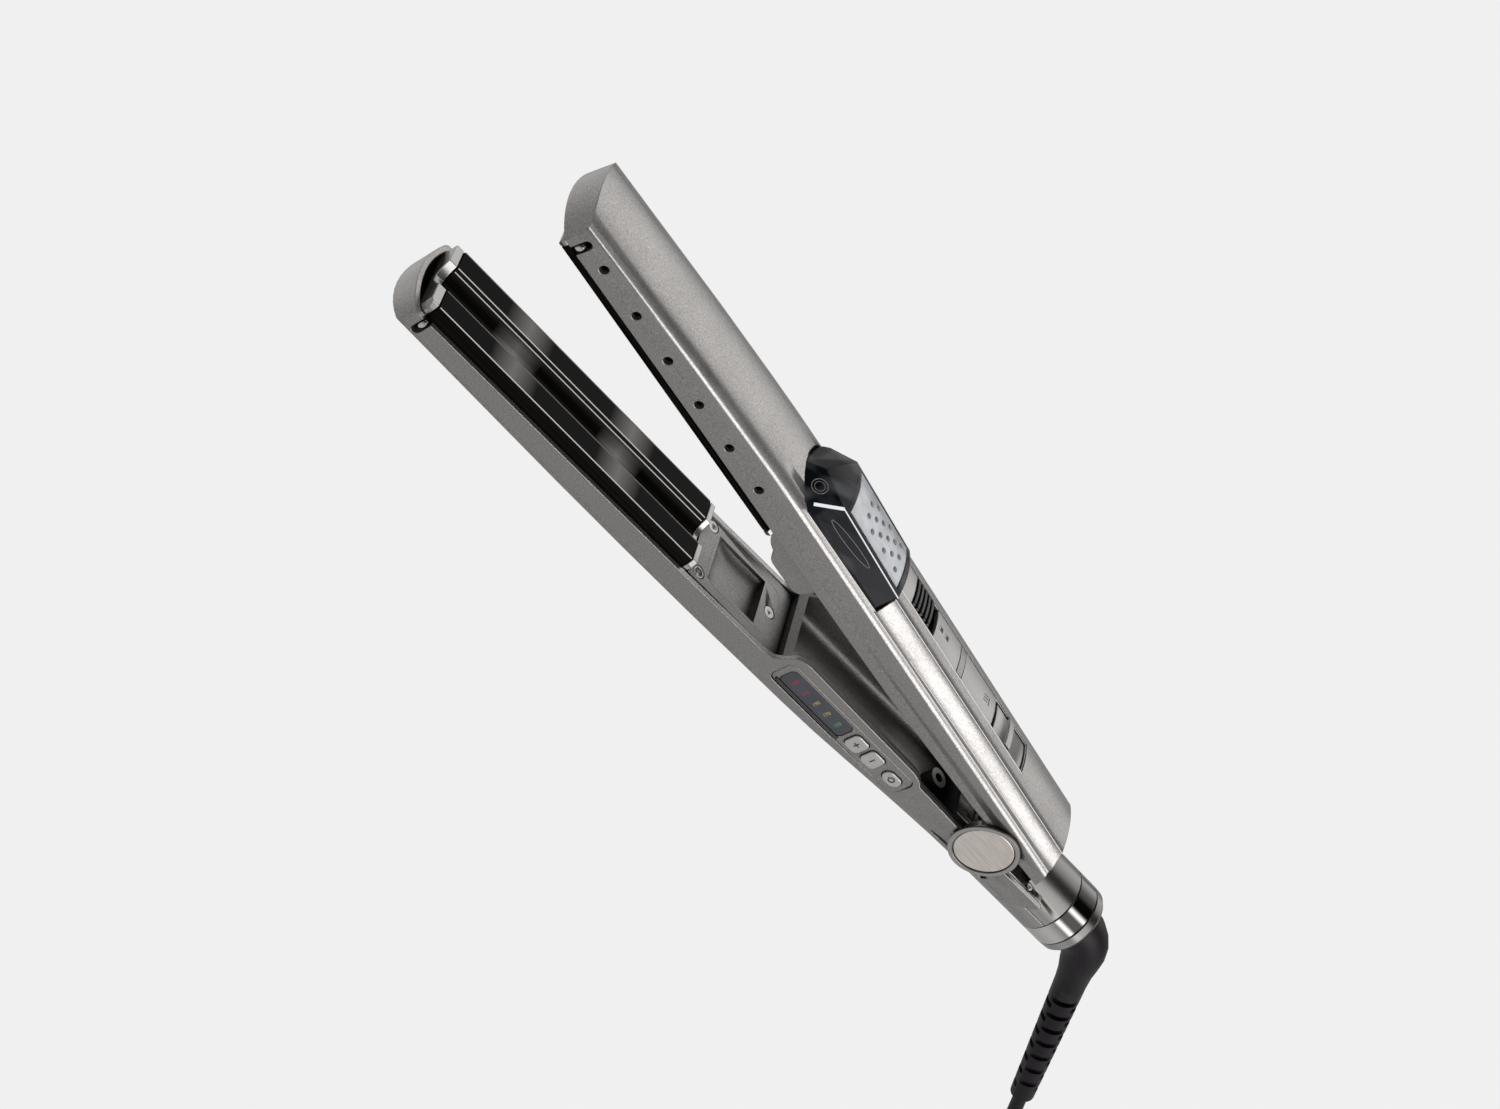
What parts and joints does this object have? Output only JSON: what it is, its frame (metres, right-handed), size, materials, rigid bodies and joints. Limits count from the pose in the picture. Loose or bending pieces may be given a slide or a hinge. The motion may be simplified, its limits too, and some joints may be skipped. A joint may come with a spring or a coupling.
{
  "type": "hair crimper",
  "caption": "Hand-held steam hair crimper: two hinged arms with waved heating plates, water tank on the upper arm, side controls and a swivel cord with a ribbed strain relief.",
  "frame": {"origin": "on the arms' hinge axis, at the outer face of the far hinge disc", "axes": "+X from the plates' tips towards the cord, +Y along the hinge axis to the far side (the controls are on the near side), +Z from the lower arm up to the upper arm; the lower arm lies along X"},
  "size_m": [0.3934, 0.0342, 0.1517],
  "materials": {
    "paint": "moulded plastic with warm grey metallic lacquer with a fine sparkle grain",
    "strip": "moulded plastic with lighter satin silver lacquer",
    "plate_coating": "near-black glossy release coating on aluminium",
    "clip": "bright satin",
    "ceramic": "fired white ceramic",
    "black_plastic": "moulded black",
    "steel": "plain machined",
    "satin_metal": "satin silver",
    "brushed_disc": "warm silver, brushed in one direction",
    "chrome": "polished",
    "contact_brass": "plain turned",
    "display": "tinted display window with lit numbers",
    "board": "green solder mask",
    "key": "moulded plastic with light satin silver keys",
    "lamp": "unlit translucent lamp bar",
    "smoked_tank": "smoked clear plastic",
    "tank_window": "pale clear plastic with a dotted inner face",
    "rubber": "satin black moulded rubber"
  },
  "bodies": {
    "lower_arm": {"lower_shell": "paint", "lower_plate": "plate_coating", "lower_front_clip": "clip", "lower_rear_clip": "clip", "lower_heater": "ceramic", "lower_heater_tray": "black_plastic", "pocket_cover": "paint", "cover_screw_near": "steel", "cover_screw_far": "steel", "cover_screw_rear": "steel", "channel_liner": "paint", "control_panel": "paint", "display_window": "display", "display_board": "board", "control_board": "board", "hinge_pin": "steel", "near_hinge_ring": "satin_metal", "near_hinge_disc": "brushed_disc", "far_hinge_ring": "satin_metal", "far_hinge_disc": "brushed_disc", "hinge_spring": "steel", "collar_sleeve_upper": "satin_metal", "collar_sleeve_lower": "satin_metal", "tail_screw": "steel", "chrome_ring": "chrome", "end_ring": "satin_metal", "swivel_socket": "black_plastic", "live_contact_ring": "contact_brass", "neutral_contact_ring": "contact_brass"},
    "plus_key": {"plus_button": "key"},
    "minus_key": {"minus_button": "key"},
    "power_key": {"power_button": "key"},
    "cord": {"swivel_spigot": "black_plastic", "elbow_boot": "rubber", "power_cord": "rubber"},
    "upper_arm": {"upper_shell": "paint", "upper_plate": "plate_coating", "upper_front_clip": "clip", "upper_rear_clip": "clip", "upper_heater": "ceramic", "upper_heater_tray": "black_plastic", "steam_manifold": "steel", "inner_cover": "paint", "steam_pump": "black_plastic", "steam_pipe": "rubber", "steam_board": "board", "label_panel": "strip", "lamp_lens": "lamp"},
    "tank": {"tank_body": "smoked_tank", "tank_window": "tank_window", "filler_plug": "rubber", "outlet_valve": "black_plastic"},
    "latch": {"tank_latch": "black_plastic"},
    "slider": {"steam_slider": "strip"}
  },
  "joints": [
    {"name": "arm_hinge", "type": "hinge", "parent": "lower_arm", "child": "upper_arm", "pos_m": [0, 0, 0], "axis": [0, 1, 0], "range_deg": [-10.2, 0], "stiffness_Nm_per_rad": 0.6, "springref_deg": 28.65},
    {"name": "cord_swivel", "type": "hinge", "parent": "lower_arm", "child": "cord", "pos_m": [0.05, -0.0168, -0.0075], "axis": [1, 0, 0], "continuous": true},
    {"name": "plus_press", "type": "slide", "parent": "lower_arm", "child": "plus_key", "axis": [0, 1, 0], "range_m": [0, 0.0008]},
    {"name": "minus_press", "type": "slide", "parent": "lower_arm", "child": "minus_key", "axis": [0, 1, 0], "range_m": [0, 0.0008]},
    {"name": "power_press", "type": "slide", "parent": "lower_arm", "child": "power_key", "axis": [0, 1, 0], "range_m": [0, 0.0008]},
    {"name": "tank_lift", "type": "slide", "parent": "upper_arm", "child": "tank", "axis": [0.1771, 0, 0.9842], "range_m": [0, 0.04]},
    {"name": "latch_slide", "type": "slide", "parent": "upper_arm", "child": "latch", "axis": [0.9842, 0, -0.1771], "range_m": [0, 0.0022]},
    {"name": "steam_slide", "type": "slide", "parent": "upper_arm", "child": "slider", "axis": [-0.9842, 0, 0.1771], "range_m": [0, 0.0015]}
  ]
}
